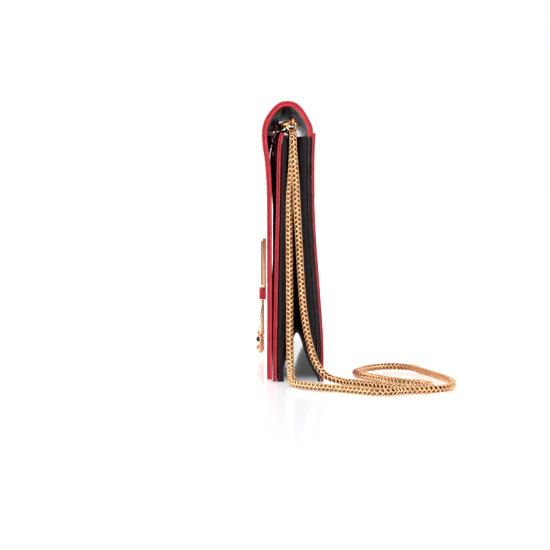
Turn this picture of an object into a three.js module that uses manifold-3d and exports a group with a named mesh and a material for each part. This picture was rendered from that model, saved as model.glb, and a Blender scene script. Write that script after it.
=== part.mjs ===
// A standing envelope clutch: leather flap, walls, accordion ends and folded base, a chain strap on two
// snap hooks, and a hinged ornament on the flap. Millimetres. +X along the bag towards its near end,
// -Y towards the flap's front, +Z up. The origin is under the middle of the bag, at the floor.
import * as THREE from 'three';
import { mergeVertices } from 'three/addons/utils/BufferGeometryUtils.js';
import Module from 'manifold-3d';

const wasm = await Module();
wasm.setup();

// ---- driving dimensions ----
const HALF_LENGTH = 125;
const FRONT_DEPTH = 12.7; // from the flap's outer face back to the origin plane
const GAP = 0.3; // clearance kept between neighbouring pieces
const LEATHER = 1.3; // flap and back leather
const THIN_LEATHER = 0.9; // tabs and inner strips
const LINING = 0.7; // the front wall's lining and the back wall's suede
const BASE_LEATHER = 1.4;
const GUSSET_LEATHER = 1.1;
const GUSSET_DEPTH = 27; // how far the end pleats reach into the bag
const GUSSET_TOP = 140;
const INNER_TOP = 141; // where the back wall's inner layers stop, just under the flap's fold
const BASE_HALF = 124.4; // half the folded base's length
const DIVIDER_HALF = 94;
const MAGNET = { radius: 7, z: 27, height: 1 };
const POST = { radius: 1, lower: 50, upper: 71 }; // the ornament's two screws
const RIVET = { hole: 1.1, z: 130.5 };
const CHAIN_D = 4.5;
const RING_WIRE = 0.7; // wire radius of the strap hardware
const RING_SPACING = 196; // from the near D-ring to the far one
const ORNAMENT_PIN = { depth: -2.8, z: 36.2 };

const group = new THREE.Group();
const yOf = (depth) => depth - FRONT_DEPTH;
const section = (pairs) => pairs.map(([depth, z]) => new THREE.Vector2(yOf(depth), z));

// ---- materials ----
const leatherRed = { color: 0xbe2334, roughness: 0.45, metalness: 0 };
const leatherBlack = { color: 0x241f23, roughness: 0.55, metalness: 0 };
const suedeGrey = { color: 0x9a9799, roughness: 0.95, metalness: 0 };
const board = { color: 0x8d8479, roughness: 0.9, metalness: 0 };
const gold = { color: 0xd6a268, roughness: 0.22, metalness: 1 };
const steel = { color: 0x9b9b9b, roughness: 0.35, metalness: 1 };
const enamel = { color: 0x3a454e, roughness: 0.12, metalness: 0 };

function addPart(name, geometry, look, parent = group) {
  const mesh = new THREE.Mesh(geometry, new THREE.MeshStandardMaterial(look));
  mesh.name = name;
  parent.add(mesh);
  return mesh;
}

// ---- solids ----
function toSolid(geometry) {
  const bare = geometry.clone();
  bare.deleteAttribute('normal');
  bare.deleteAttribute('uv');
  const merged = mergeVertices(bare, 1e-4);
  const vertProperties = new Float32Array(merged.attributes.position.array);
  const triVerts = new Uint32Array(merged.index.array);
  return new wasm.Manifold(new wasm.Mesh({ numProp: 3, vertProperties, triVerts }));
}

function toGeometry(solid) {
  const mesh = solid.getMesh();
  const geometry = new THREE.BufferGeometry();
  geometry.setAttribute('position', new THREE.BufferAttribute(mesh.vertProperties, 3));
  geometry.setIndex(new THREE.BufferAttribute(mesh.triVerts, 1));
  return geometry;
}

function cut(body, ...tools) {
  return toGeometry(tools.reduce((solid, tool) => solid.subtract(toSolid(tool)), toSolid(body)));
}

function join(...pieces) {
  return toGeometry(pieces.map(toSolid).reduce((all, piece) => all.add(piece)));
}

// A Y-Z outline pushed along X.
function prism(outline, xLow, xHigh) {
  const geometry = new THREE.ExtrudeGeometry(new THREE.Shape(outline), {
    depth: xHigh - xLow,
    bevelEnabled: false,
    curveSegments: 10,
  });
  const yzToX = new THREE.Matrix4().makeBasis(
    new THREE.Vector3(0, 1, 0),
    new THREE.Vector3(0, 0, 1),
    new THREE.Vector3(1, 0, 0),
  );
  geometry.applyMatrix4(yzToX);
  geometry.translate(xLow, 0, 0);
  return geometry;
}

// The unit normals of a polyline, to the left of its direction.
function leftNormals(points) {
  return points.map((point, i) => {
    const before = points[Math.max(i - 1, 0)];
    const after = points[Math.min(i + 1, points.length - 1)];
    const along = after.clone().sub(before).normalize();
    return new THREE.Vector2(-along.y, along.x);
  });
}

function shifted(points, distance) {
  const normals = leftNormals(points);
  return points.map((point, i) => point.clone().addScaledVector(normals[i], distance));
}

function smooth(points, steps) {
  return new THREE.SplineCurve(points).getSpacedPoints(steps);
}

// A sheet that follows a Y-Z line: it fills the space between two offsets to the left of the line.
function sheet(line, near, far, xLow = -HALF_LENGTH, xHigh = HALF_LENGTH) {
  const outline = [...shifted(line, near), ...shifted(line, far).reverse()];
  return prism(outline, xLow, xHigh);
}

function rodAlongX(radius, xLow, xHigh, y, z, sides = 20) {
  const rod = new THREE.CylinderGeometry(radius, radius, xHigh - xLow, sides);
  rod.rotateZ(Math.PI / 2);
  return rod.translate((xLow + xHigh) / 2, y, z);
}

function discAlongY(radius, yLow, yHigh, x, z, sides = 24) {
  return new THREE.CylinderGeometry(radius, radius, yHigh - yLow, sides).translate(x, (yLow + yHigh) / 2, z);
}

function block(xLow, xHigh, depthLow, depthHigh, zLow, zHigh) {
  const box = new THREE.BoxGeometry(xHigh - xLow, depthHigh - depthLow, zHigh - zLow);
  return box.translate((xLow + xHigh) / 2, yOf((depthLow + depthHigh) / 2), (zLow + zHigh) / 2);
}

// A closed wire of round section through the points of a flat loop, given in the X-Y plane.
function wireLoop(points, radius, sides = 10) {
  const count = points.length;
  const positions = [];
  const index = [];
  for (let i = 0; i < count; i++) {
    const before = points[(i + count - 1) % count];
    const after = points[(i + 1) % count];
    const along = after.clone().sub(before).normalize();
    const outward = new THREE.Vector2(along.y, -along.x);
    for (let k = 0; k < sides; k++) {
      const turn = (2 * Math.PI * k) / sides;
      const reach = radius * Math.cos(turn);
      const onWire = points[i].clone().addScaledVector(outward, reach);
      positions.push(onWire.x, onWire.y, radius * Math.sin(turn));
      const next = ((i + 1) % count) * sides;
      const here = i * sides;
      const side = (k + 1) % sides;
      index.push(here + k, next + k, next + side, here + k, next + side, here + side);
    }
  }
  const geometry = new THREE.BufferGeometry();
  geometry.setAttribute('position', new THREE.BufferAttribute(new Float32Array(positions), 3));
  geometry.setIndex(index);
  return geometry;
}

function ringPoints(radius, steps = 24) {
  return Array.from({ length: steps }, (_, i) => {
    const turn = (2 * Math.PI * i) / steps;
    return new THREE.Vector2(radius * Math.cos(turn), radius * Math.sin(turn));
  });
}

// ---- shell: sections across the bag, as depth behind the flap's outer face, and height ----
const flapLine = smooth(
  section([
    [26.9, 142.3], [26.8, 143.6], [25.8, 146], [24.2, 149], [21, 154.5], [16.8, 158.7], [11.7, 160],
    [6.6, 158.8], [2, 154.5], [-1.4, 148.9], [-2.8, 143], [-2.6, 135.5], [-1.3, 126.5], [-0.2, 113],
    [0, 100], [0, 80], [0, 50], [0, 25], [0, 1.4],
  ]),
  64,
);
const frontLine = smooth(
  section([[7.9, 142.4], [6.6, 138.5], [5.9, 132], [5.6, 122], [5.3, 103], [4.5, 70], [3.7, 30], [3.4, 0.2]]),
  26,
);
const backLine = smooth(
  section([
    [27.5, 141.9], [27, 128], [27, 110], [27.5, 92], [28.6, 75], [29.9, 58], [31, 43], [31.9, 31], [32.4, 18],
    [32.5, 0.1],
  ]),
  32,
);
const dividerLine = smooth(section([[11.4, 141.6], [12.2, 120], [14.2, 75], [16.1, 32.4]]), 10);

// The base's lower face, from its front foot over the ridge to its back foot.
const tunnelPoints = section([
  [9.8, 0], [9.2, 6.4], [11.2, 13], [14.3, 23], [16.3, 27.6], [17, 28.3], [17.8, 27.6],
  [19.5, 23.9], [21.2, 18.2], [23.3, 12.5], [26.1, 6.8], [28.6, 2.4], [29.3, 0],
]);
const baseTop = shifted(tunnelPoints, BASE_LEATHER);
baseTop[0] = new THREE.Vector2(yOf(5.9), 0);
baseTop[1] = new THREE.Vector2(yOf(6.6), 6.6);
baseTop[baseTop.length - 1] = new THREE.Vector2(yOf(30.6), 0);
const baseOutline = [...tunnelPoints, ...[...baseTop].reverse()];
addPart('base_fold', prism(baseOutline, -BASE_HALF, BASE_HALF), leatherBlack);

const flapInner = 2 * LEATHER + GAP;

function addFlap() {
  const postHole = (z) => discAlongY(POST.radius + GAP, yOf(-1), yOf(LEATHER + 1), 0, z);
  const washerPocket = (z) => discAlongY(3.3, yOf(1), yOf(LEATHER + GAP + 0.9), 0, z);
  const pocketY = { low: yOf(LEATHER - 0.5), high: yOf(LEATHER + GAP + 0.8) };
  const magnetPocket = discAlongY(MAGNET.radius + GAP, pocketY.low, pocketY.high, 0, MAGNET.z);
  const postHoles = [postHole(POST.lower), postHole(POST.upper)];
  const outer = cut(sheet(flapLine, 0, LEATHER), ...postHoles, magnetPocket);
  const lining = cut(
    sheet(flapLine, LEATHER + GAP, flapInner),
    washerPocket(POST.lower),
    washerPocket(POST.upper),
    magnetPocket,
  );
  addPart('flap_outer', outer, leatherRed);
  addPart('flap_lining', lining, leatherBlack);
  const magnetY = yOf(LEATHER - 0.2);
  const magnet = discAlongY(MAGNET.radius, magnetY, magnetY + MAGNET.height, 0, MAGNET.z);
  addPart('flap_magnet', magnet, steel);
}

const FRONT_LEATHER = 1;
const frontInner = FRONT_LEATHER + GAP + LINING;

function addFrontWall() {
  const faceY = yOf(3.67); // the wall's outer face at the magnet's height
  const pocketY = { low: faceY + 0.55, high: faceY + FRONT_LEATHER + GAP + 0.35 };
  const pocket = discAlongY(MAGNET.radius + GAP, pocketY.low, pocketY.high, 0, MAGNET.z);
  const rivetHole = (x) => discAlongY(RIVET.hole, yOf(5), yOf(6.3), x, RIVET.z);
  const rivetHoles = [rivetHole(ringCentreX), rivetHole(ringCentreX - RING_SPACING)];
  addPart('front_panel', cut(sheet(frontLine, 0, FRONT_LEATHER), pocket, ...rivetHoles), leatherRed);
  addPart('front_lining', cut(sheet(frontLine, FRONT_LEATHER + GAP, frontInner), pocket), leatherBlack);
  const magnet = discAlongY(MAGNET.radius, faceY + 0.85, faceY + FRONT_LEATHER + 0.35, 0, MAGNET.z);
  addPart('front_magnet', magnet, steel);
}

function addBackWall() {
  const layer = { strip: LEATHER + GAP, lining: LEATHER + THIN_LEATHER + 2 * GAP };
  const upper = backLine.filter((point) => point.y > 122 && point.y < INNER_TOP);
  const lower = backLine.filter((point) => point.y > 9 && point.y < 119);
  const lined = backLine.filter((point) => point.y > 8 && point.y < INNER_TOP);
  // The back line runs down, so its inner side is to the right: offsets are negative.
  addPart('back_panel', sheet(backLine, -LEATHER, 0), leatherRed);
  addPart('flap_root', sheet(upper, -layer.strip - THIN_LEATHER, -layer.strip), leatherRed);
  addPart('back_stiffener', sheet(lower, -layer.strip - THIN_LEATHER, -layer.strip, -121, 121), board);
  addPart('back_lining', sheet(lined, -layer.lining - LINING, -layer.lining), suedeGrey);
}

function addDivider() {
  const wall = sheet(dividerLine, -LEATHER / 2, LEATHER / 2, -DIVIDER_HALF, DIVIDER_HALF);
  addPart('divider', wall, leatherBlack);
}

// The Y at which a section line crosses a height.
function yAt(line, z) {
  const below = line.findIndex((point) => point.y <= z);
  if (below <= 0) {
    return line[below === 0 ? 0 : line.length - 1].x;
  }
  const a = line[below - 1];
  const b = line[below];
  return a.x + ((b.x - a.x) * (a.y - z)) / (a.y - b.y);
}

// An accordion end: one strip of leather with a turned edge at each wall and a pleat that folds inwards.
function gussetPlan(z) {
  const half = GUSSET_LEATHER / 2;
  const front = yAt(frontLine, z) + frontInner + GAP + half;
  const back = yAt(backLine, z) - (LEATHER + THIN_LEATHER + 2 * GAP + LINING) - GAP - half;
  const pleat = Math.max(yAt(dividerLine, z) + 0.4, front + 2.5);
  const end = HALF_LENGTH - GAP - half;
  const strip = Math.min(2.6, (pleat - front) * 0.62);
  const deep = end - GUSSET_DEPTH;
  return [
    [end - 5, front], [end - 1.5, front], [end - 0.4, front + 0.15], [end, front + strip * 0.4],
    [end, front + strip * 0.75], [end - 0.6, front + strip], [end - 12, Math.max(pleat - 1.3, front + 1.5)],
    [deep + 2, pleat - 0.7], [deep, pleat], [deep + 2, pleat + 0.7], [end - 12, (pleat + back) / 2 - 0.6],
    [end - 0.6, back - 3.2], [end, back - 2.4], [end, back - 0.9], [end - 0.6, back - 0.2], [end - 2, back],
    [end - 5, back],
  ].map(([x, y]) => new THREE.Vector2(x, y));
}

function loft(levels, planAt, thickness) {
  const rings = levels.map((z) => {
    const line = planAt(z);
    const ring = [...shifted(line, -thickness / 2), ...shifted(line, thickness / 2).reverse()];
    return THREE.ShapeUtils.isClockWise(ring) ? ring.reverse() : ring;
  });
  const count = rings[0].length;
  const positions = [];
  rings.forEach((ring, level) => ring.forEach((point) => positions.push(point.x, point.y, levels[level])));
  const index = [];
  for (let level = 0; level + 1 < rings.length; level++) {
    for (let i = 0; i < count; i++) {
      const next = (i + 1) % count;
      const low = level * count;
      const high = low + count;
      index.push(low + i, low + next, high + next, low + i, high + next, high + i);
    }
  }
  const turnsLeft = (ring, [a, b, c]) => !THREE.ShapeUtils.isClockWise([ring[a], ring[b], ring[c]]);
  const capTriangles = (ring) => {
    const triangles = THREE.ShapeUtils.triangulateShape(ring, []);
    return triangles.map((face) => (turnsLeft(ring, face) ? face : face.reverse()));
  };
  capTriangles(rings[0]).forEach(([a, b, c]) => index.push(a, c, b));
  const last = (rings.length - 1) * count;
  capTriangles(rings[rings.length - 1]).forEach(([a, b, c]) => index.push(last + a, last + b, last + c));
  const geometry = new THREE.BufferGeometry();
  geometry.setAttribute('position', new THREE.BufferAttribute(new Float32Array(positions), 3));
  geometry.setIndex(index);
  return geometry;
}

function addGussets() {
  const levels = [1, 12, 22, 32, 45, 60, 75, 90, 105, 118, 128, 134, GUSSET_TOP];
  const under = shifted(tunnelPoints, BASE_LEATHER + GAP);
  under[0] = new THREE.Vector2(yOf(5.9) - GAP, -3);
  under[1] = new THREE.Vector2(yOf(6.6) - GAP, 6.7);
  under[under.length - 1] = new THREE.Vector2(yOf(31), -3);
  const below = prism(under, -140, 140);
  const farPlan = (z) => gussetPlan(z).map((point) => new THREE.Vector2(-point.x, point.y));
  addPart('gusset_near', cut(loft(levels, gussetPlan, GUSSET_LEATHER), below), leatherBlack);
  addPart('gusset_far', cut(loft(levels, farPlan, GUSSET_LEATHER), below), leatherBlack);
}

// ---- strap hardware, at each end ----
const ringHinge = { depth: 3.9, z: 138.6 };
const hookStart = new THREE.Vector3(104.3, yOf(5.2), 145);
const swivelEye = new THREE.Vector3(121.5, yOf(14), 148.4);
const RING_WIDTH = 12;
const hookAlong = swivelEye.clone().sub(hookStart).normalize();
const hookUp = new THREE.Vector3(0, 0, 1).addScaledVector(hookAlong, -hookAlong.z).normalize();
const hookSide = hookUp.clone().cross(hookAlong);
const hookLength = swivelEye.distanceTo(hookStart);
// Where the D-ring's upright wire passes through the hook.
const wireThroughHook = hookStart.clone().addScaledVector(hookAlong, -0.8).addScaledVector(hookSide, 0.9);
const ringCentreX = wireThroughHook.x - RING_WIDTH / 2;

function placeHookPart(geometry, shift) {
  const frame = new THREE.Matrix4().makeBasis(hookAlong, hookSide, hookUp).setPosition(hookStart);
  return geometry.applyMatrix4(frame).translate(shift, 0, 0);
}

// A flat plan in the hook's own plane, centred on its middle height.
function hookPlate(points, thickness) {
  const shape = new THREE.Shape(points.map(([u, v]) => new THREE.Vector2(u, v)));
  const plate = new THREE.ExtrudeGeometry(shape, { depth: thickness, bevelEnabled: false });
  return plate.translate(0, 0, -thickness / 2);
}

function hookBody() {
  const outline = [
    [-1.9, -3.2], [-3, -3.2], [-3.8, -2.5], [-4, -1.2], [-4, 2], [-3.3, 3.2], [-2, 3.6], [3, 3.6],
    [5, 2.6], [8, 2], [11, 2], [11, -2], [6.5, -2], [5.6, -3], [3.6, -3], [3.6, -2.2], [2.4, -2],
    [2.4, 2], [-2.4, 2], [-2.4, -2], [-1.9, -2],
  ];
  const shankHole = new THREE.CylinderGeometry(1, 1, 3, 16).rotateZ(Math.PI / 2).translate(10.1, 0, 0);
  const barrel = new THREE.CylinderGeometry(1.8, 1.8, 4, 20).rotateZ(Math.PI / 2).translate(9, 0, 0);
  const body = join(hookPlate(outline, 1.9), barrel);
  return cut(body, shankHole);
}

function hookGate() {
  return hookPlate([[-2, -1.7], [1.7, -1.7], [1.7, -2.9], [2.05, -2.9], [2.05, -0.9], [-2, -0.9]], 1.3);
}

function hookSwivel() {
  const shank = new THREE.CylinderGeometry(0.7, 0.7, 3.4, 14).rotateZ(Math.PI / 2).translate(10.6, 0, 0);
  const collar = new THREE.CylinderGeometry(1.6, 1.6, 1.6, 20).rotateZ(Math.PI / 2).translate(12.2, 0, 0);
  const neck = new THREE.CylinderGeometry(0.8, 0.8, 5.2, 14).rotateZ(Math.PI / 2).translate(15.2, 0, 0);
  const eye = wireLoop(ringPoints(1.9), RING_WIRE).rotateX(Math.PI / 2).translate(hookLength, 0, 0);
  return join(shank, collar, neck, eye);
}

function dRing() {
  const halfWidth = RING_WIDTH / 2;
  const rise = Math.hypot(wireThroughHook.y - yOf(ringHinge.depth), wireThroughHook.z - ringHinge.z);
  const shape = new THREE.Path();
  const corner = 1.2;
  shape.moveTo(-halfWidth + corner, 0);
  shape.lineTo(halfWidth - corner, 0);
  shape.absarc(halfWidth - corner, corner, corner, -Math.PI / 2, 0);
  shape.lineTo(halfWidth, rise);
  shape.absellipse(0, rise, halfWidth, 3, 0, Math.PI);
  shape.lineTo(-halfWidth, corner);
  shape.absarc(-halfWidth + corner, corner, corner, Math.PI, 1.5 * Math.PI);
  const points = shape.getSpacedPoints(44);
  points.pop();
  const tilt = Math.atan2(wireThroughHook.y - yOf(ringHinge.depth), wireThroughHook.z - ringHinge.z);
  return wireLoop(points, RING_WIRE)
    .rotateX(Math.PI / 2 - tilt)
    .translate(ringCentreX, yOf(ringHinge.depth), ringHinge.z);
}

function ringTab() {
  const half = 4.2;
  const strip = block(ringCentreX - half, ringCentreX + half, 4.35, 5.25, 125.5, 137.4);
  const loopY = yOf(ringHinge.depth);
  const loop = rodAlongX(2, ringCentreX - half, ringCentreX + half, loopY, ringHinge.z);
  const bore = rodAlongX(RING_WIRE + 0.4, ringCentreX - half - 1, ringCentreX + half + 1, loopY, ringHinge.z);
  const rivetHole = discAlongY(RIVET.hole, yOf(3), yOf(7), ringCentreX, RIVET.z);
  return cut(join(strip, loop), bore, rivetHole);
}

function ringRivet() {
  const head = discAlongY(2, yOf(3.1), yOf(4.05), ringCentreX, RIVET.z, 18);
  const shank = discAlongY(0.8, yOf(3.6), yOf(6.2), ringCentreX, RIVET.z, 14);
  return join(head, shank);
}

function jumpRing() {
  const radius = 2.6;
  const ring = wireLoop(ringPoints(radius), RING_WIRE).rotateX(Math.PI / 2).rotateZ(Math.PI / 2);
  return ring.translate(swivelEye.x, swivelEye.y, swivelEye.z - radius);
}

function addStrapHardware(end, shift) {
  addPart(`ring_tab_${end}`, ringTab().translate(shift, 0, 0), leatherRed);
  addPart(`ring_rivet_${end}`, ringRivet().translate(shift, 0, 0), gold);
  addPart(`d_ring_${end}`, dRing().translate(shift, 0, 0), gold);
  addPart(`hook_body_${end}`, placeHookPart(hookBody(), shift), gold);
  addPart(`hook_gate_${end}`, placeHookPart(hookGate(), shift), gold);
  addPart(`hook_swivel_${end}`, placeHookPart(hookSwivel(), shift), gold);
  addPart(`jump_ring_${end}`, jumpRing().translate(shift, 0, 0), gold);
}

// ---- chain strap: from the near jump ring to the floor, round its loops, up and over the near pleat,
// through the back compartment to the far jump ring ----
const chainRoute = [
  [122.8, 2.2, 141.4], [127.4, 2.1, 138.6], [130.3, 2.3, 132], [131.5, 3.4, 117], [131.4, 5.2, 82],
  [131.2, 8, 42], [131.5, 11.2, 23.5], [132.8, 15.2, 11.5], [134.6, 21, 4.8], [139, 29, 2.5],
  [146.6, 36.6, 2.4], [160, 53.3, 2.4], [167, 60.8, 2.4], [168.3, 67.6, 2.4], [164.6, 74.2, 2.4],
  [157, 77.2, 2.4], [148.6, 73.4, 2.4], [142.6, 64.2, 2.4], [128.2, 51.5, 2.4], [105, 39.8, 2.4],
  [89.9, 43.4, 2.4], [77, 53, 2.4], [72.6, 64, 2.4], [78, 73.6, 2.4], [94.6, 79, 2.4], [117, 86.2, 2.4],
  [140, 91, 2.4], [159, 88.6, 2.4], [169.5, 82.4, 2.4], [174.6, 70, 2.4], [176, 61.5, 2.4],
  [181, 54, 2.4], [182, 47.4, 2.4], [172.4, 32, 2.4], [154.5, 6.6, 2.4], [144.5, 1.6, 2.5],
  [136.5, 0.9, 5.2], [132.3, 0.4, 14], [131, 0.2, 52], [130.4, 0, 88], [128, 0.2, 106],
  [124.4, 1.5, 125.5], [120.7, 1.7, 134.8], [116.2, 1.9, 141], [108.6, 1.9, 143.3], [97, 1.5, 143.2],
  [83, 2, 138.6], [58, 3, 122.5], [4, 3.4, 109.5], [-50, 2.8, 122.5], [-68.6, 1.9, 136.4],
];
const CHAIN_STEPS = 79;

function chainTube() {
  const route = chainRoute.map(([x, y, z]) => new THREE.Vector3(x, y, z));
  const path = new THREE.CatmullRomCurve3(route, false, 'centripetal');
  const ring = ringPoints(CHAIN_D / 2, 8);
  return new THREE.ExtrudeGeometry(new THREE.Shape(ring), { steps: CHAIN_STEPS, extrudePath: path });
}

// ---- ornament on the flap ----
const knuckle = { radius: 1.2, bore: 0.85, pin: 0.55, reach: 6, inner: 3.2 };

function onPin(radius, xLow, xHigh) {
  return rodAlongX(radius, xLow, xHigh, yOf(ORNAMENT_PIN.depth), ORNAMENT_PIN.z);
}

function ornamentPlate() {
  const face = block(-7, 7, -3, -0.6, 44.9, 77);
  const tail = block(-6, 6, -3.6, -1.9, ORNAMENT_PIN.z + 0.4, 45.2);
  const left = onPin(knuckle.radius, -knuckle.reach, -knuckle.inner);
  const right = onPin(knuckle.radius, knuckle.inner, knuckle.reach);
  const window = block(-knuckle.inner, knuckle.inner, -5, 0, 30, ORNAMENT_PIN.z + knuckle.radius + GAP);
  return cut(join(face, tail, left, right), window, onPin(knuckle.bore, -8, 8));
}

function dropBar() {
  const side = section([
    [-3.5, 35.4], [-2.2, 35.4], [-1.8, 33], [-1.7, 14.6], [-4.5, 14.6], [-4.3, 22], [-3.75, 33],
  ]);
  const wideSide = section([[-3.75, 33], [-1.8, 33], [-1.7, 14.6], [-4.5, 14.6], [-4.3, 22]]);
  const bar = join(prism(side, -2.9, 2.9), prism(wideSide, -5, 5), onPin(knuckle.radius, -2.9, 2.9));
  return cut(bar, onPin(knuckle.bore, -4, 4));
}

function addOrnament() {
  addPart('ornament_plate', ornamentPlate(), gold);
  addPart('ornament_inlay', block(-5.4, 5.4, -3.9, -3.3, 46.6, 75.2), enamel);
  const strap = block(-9, 9, -5.1, -0.7, 37.9, 44.6);
  addPart('keeper', cut(strap, block(-7.4, 7.4, -4, -1.5, 30, 50)), leatherRed);
  addPart('ornament_pin', onPin(knuckle.pin, -knuckle.reach, knuckle.reach), gold);
  addPart('drop_bar', dropBar(), gold);
  const inlaySide = section([[-4.1, 32], [-4.62, 22], [-4.75, 18], [-5.2, 18], [-5.1, 22], [-4.5, 32]]);
  addPart('drop_inlay', prism(inlaySide, -3.8, 3.8), enamel);
  // The clasp's side, with two shallow seats in its front for the stone and the roller.
  const blockSide = section([
    [-5.4, 14.3], [-2.6, 14.3], [-2.1, 12], [-2, 5], [-2.7, 3.2], [-4.4, 2.6], [-5.5, 3.4], [-5.6, 4.9],
    [-5, 5.3], [-5, 7.1], [-5.6, 7.5], [-5.6, 9.9], [-4.55, 10.6], [-4.55, 12.6], [-5.4, 13.2],
  ]);
  addPart('end_block', prism(blockSide, -7, 7), gold);
  addPart('end_stone', rodAlongX(1.05, -5.6, 5.6, yOf(-5.95), 11.6), enamel);
  addPart('end_roller', rodAlongX(0.9, -6.4, 6.4, yOf(-6.2), 6.2), gold);
  addPart('end_knob', new THREE.SphereGeometry(1.2, 16, 10).translate(0, yOf(-5.9), 15.9), gold);
  for (const name of ['lower', 'upper']) {
    const z = POST[name];
    const shank = discAlongY(POST.radius, yOf(-0.3), yOf(LEATHER + GAP + 0.3), 0, z, 14);
    const head = discAlongY(3, yOf(LEATHER + GAP), yOf(LEATHER + GAP + 0.6), 0, z, 20);
    addPart(`plate_screw_${name}`, join(shank, head), steel);
  }
}

addFlap();
addFrontWall();
addBackWall();
addDivider();
addGussets();
addStrapHardware('near', 0);
addStrapHardware('far', -RING_SPACING);
addPart('chain', chainTube(), gold);
addOrnament();

export default group;
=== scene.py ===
import math

import bmesh
import bpy
from mathutils import Matrix, Vector


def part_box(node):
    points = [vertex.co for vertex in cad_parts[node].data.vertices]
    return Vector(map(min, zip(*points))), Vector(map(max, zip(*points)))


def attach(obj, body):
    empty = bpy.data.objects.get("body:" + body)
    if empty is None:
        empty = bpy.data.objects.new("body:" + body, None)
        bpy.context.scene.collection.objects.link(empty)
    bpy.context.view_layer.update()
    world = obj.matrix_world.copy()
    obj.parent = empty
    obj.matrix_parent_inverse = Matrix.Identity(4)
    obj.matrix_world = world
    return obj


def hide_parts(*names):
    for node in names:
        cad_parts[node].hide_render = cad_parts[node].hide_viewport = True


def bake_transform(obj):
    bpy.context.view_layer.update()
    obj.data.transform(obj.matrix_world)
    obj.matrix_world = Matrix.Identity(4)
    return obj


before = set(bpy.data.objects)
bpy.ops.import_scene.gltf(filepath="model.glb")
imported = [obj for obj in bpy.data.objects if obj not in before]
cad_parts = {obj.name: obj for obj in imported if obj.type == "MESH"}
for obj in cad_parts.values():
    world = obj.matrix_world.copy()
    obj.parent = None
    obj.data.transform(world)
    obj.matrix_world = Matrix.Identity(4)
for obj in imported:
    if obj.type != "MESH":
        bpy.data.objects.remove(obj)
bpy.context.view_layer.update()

MM = 0.001

# ---- driving sizes, in metres, and places read from the frame. +X runs along the bag to its near end, where
# the chain leaves it, -Y faces the flap's front and +Z is up ----
HALF_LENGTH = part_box("flap_outer")[1].x
FRONT_FOOT = 5.9 * MM  # how far the base's front foot lies behind the flap's outer face
FACE_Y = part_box("base_fold")[0].y - FRONT_FOOT  # the flap's outer face; depths are counted back from it


def section(pairs):
    """Depth behind the flap's face and height, in millimetres, as (y, z) in metres."""
    return [Vector((FACE_Y + depth * MM, z * MM)) for depth, z in pairs]


# ---- curves ----
def between(a, b, at_a, at_b, at):
    """The point on the straight line through a and b, which it passes at the two given times."""
    return a * ((at_b - at) / (at_b - at_a)) + b * ((at - at_a) / (at_b - at_a))


def catmull(points, alpha, per_span=24):
    """A Catmull-Rom curve through the points, densely sampled. Alpha 0 is uniform and 0.5 centripetal."""
    first = points[0] * 2 - points[1]
    last = points[-1] * 2 - points[-2]
    padded = [first, *points, last]
    out = []
    for i in range(1, len(padded) - 2):
        p = padded[i - 1:i + 3]
        knots = [0.0]
        for a, b in zip(p, p[1:]):
            knots.append(knots[-1] + max((b - a).length, 1e-9) ** alpha)
        for k in range(per_span):
            t = knots[1] + (knots[2] - knots[1]) * k / per_span
            a1 = between(p[0], p[1], knots[0], knots[1], t)
            a2 = between(p[1], p[2], knots[1], knots[2], t)
            a3 = between(p[2], p[3], knots[2], knots[3], t)
            b1 = between(a1, a2, knots[0], knots[2], t)
            b2 = between(a2, a3, knots[1], knots[3], t)
            out.append(between(b1, b2, knots[1], knots[2], t))
    out.append(padded[-2].copy())
    return out


def spaced(points, count):
    """The same line with count equal steps along it."""
    lengths = [0.0]
    for a, b in zip(points, points[1:]):
        lengths.append(lengths[-1] + (b - a).length)
    out = []
    j = 0
    for step in range(count + 1):
        want = lengths[-1] * step / count
        while j < len(lengths) - 2 and lengths[j + 1] < want:
            j += 1
        share = (want - lengths[j]) / max(lengths[j + 1] - lengths[j], 1e-12)
        out.append(points[j].lerp(points[j + 1], min(max(share, 0), 1)))
    return out


def line_length(points):
    return sum((b - a).length for a, b in zip(points, points[1:]))


def smooth_line(pairs, count):
    """A smooth (y, z) line through a section's points, with count equal steps."""
    return spaced(catmull(section(pairs), 0.0), count)


def left_normals(line):
    """The unit normals to the left of a (y, z) line's direction."""
    out = []
    for i in range(len(line)):
        along = line[min(i + 1, len(line) - 1)] - line[max(i - 1, 0)]
        along.normalize()
        out.append(Vector((-along.y, along.x)))
    return out


def shifted(line, distance):
    """The line moved to its own left."""
    return [p + n * distance for p, n in zip(line, left_normals(line))]


def y_at(line, z):
    """Where a falling (y, z) line crosses a height."""
    for a, b in zip(line, line[1:]):
        if min(a.y, b.y) <= z <= max(a.y, b.y):
            return a.x + (b.x - a.x) * (a.y - z) / max(a.y - b.y, 1e-9)
    return line[0].x if z > line[0].y else line[-1].x


# ---- the camera ----
def add_camera():
    """Straight on to the near end, a little above the bag, from less than a metre away."""
    camera = bpy.data.cameras.new("camera")
    camera.lens = 102.1
    camera.sensor_width = 36
    camera.clip_end = 20
    place = bpy.data.objects.new("camera", camera)
    bpy.context.scene.collection.objects.link(place)
    distance = 886 * MM
    place.location = (HALF_LENGTH + distance, FACE_Y + 0.6 * MM, 121 * MM)
    tilt = math.radians(3.85)
    turn = math.radians(0.257)
    ahead = Vector((-math.cos(tilt) * math.cos(turn), math.cos(tilt) * math.sin(turn), -math.sin(tilt)))
    place.rotation_euler = ahead.to_track_quat("-Z", "Y").to_euler()
    bpy.context.scene.camera = place


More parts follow.
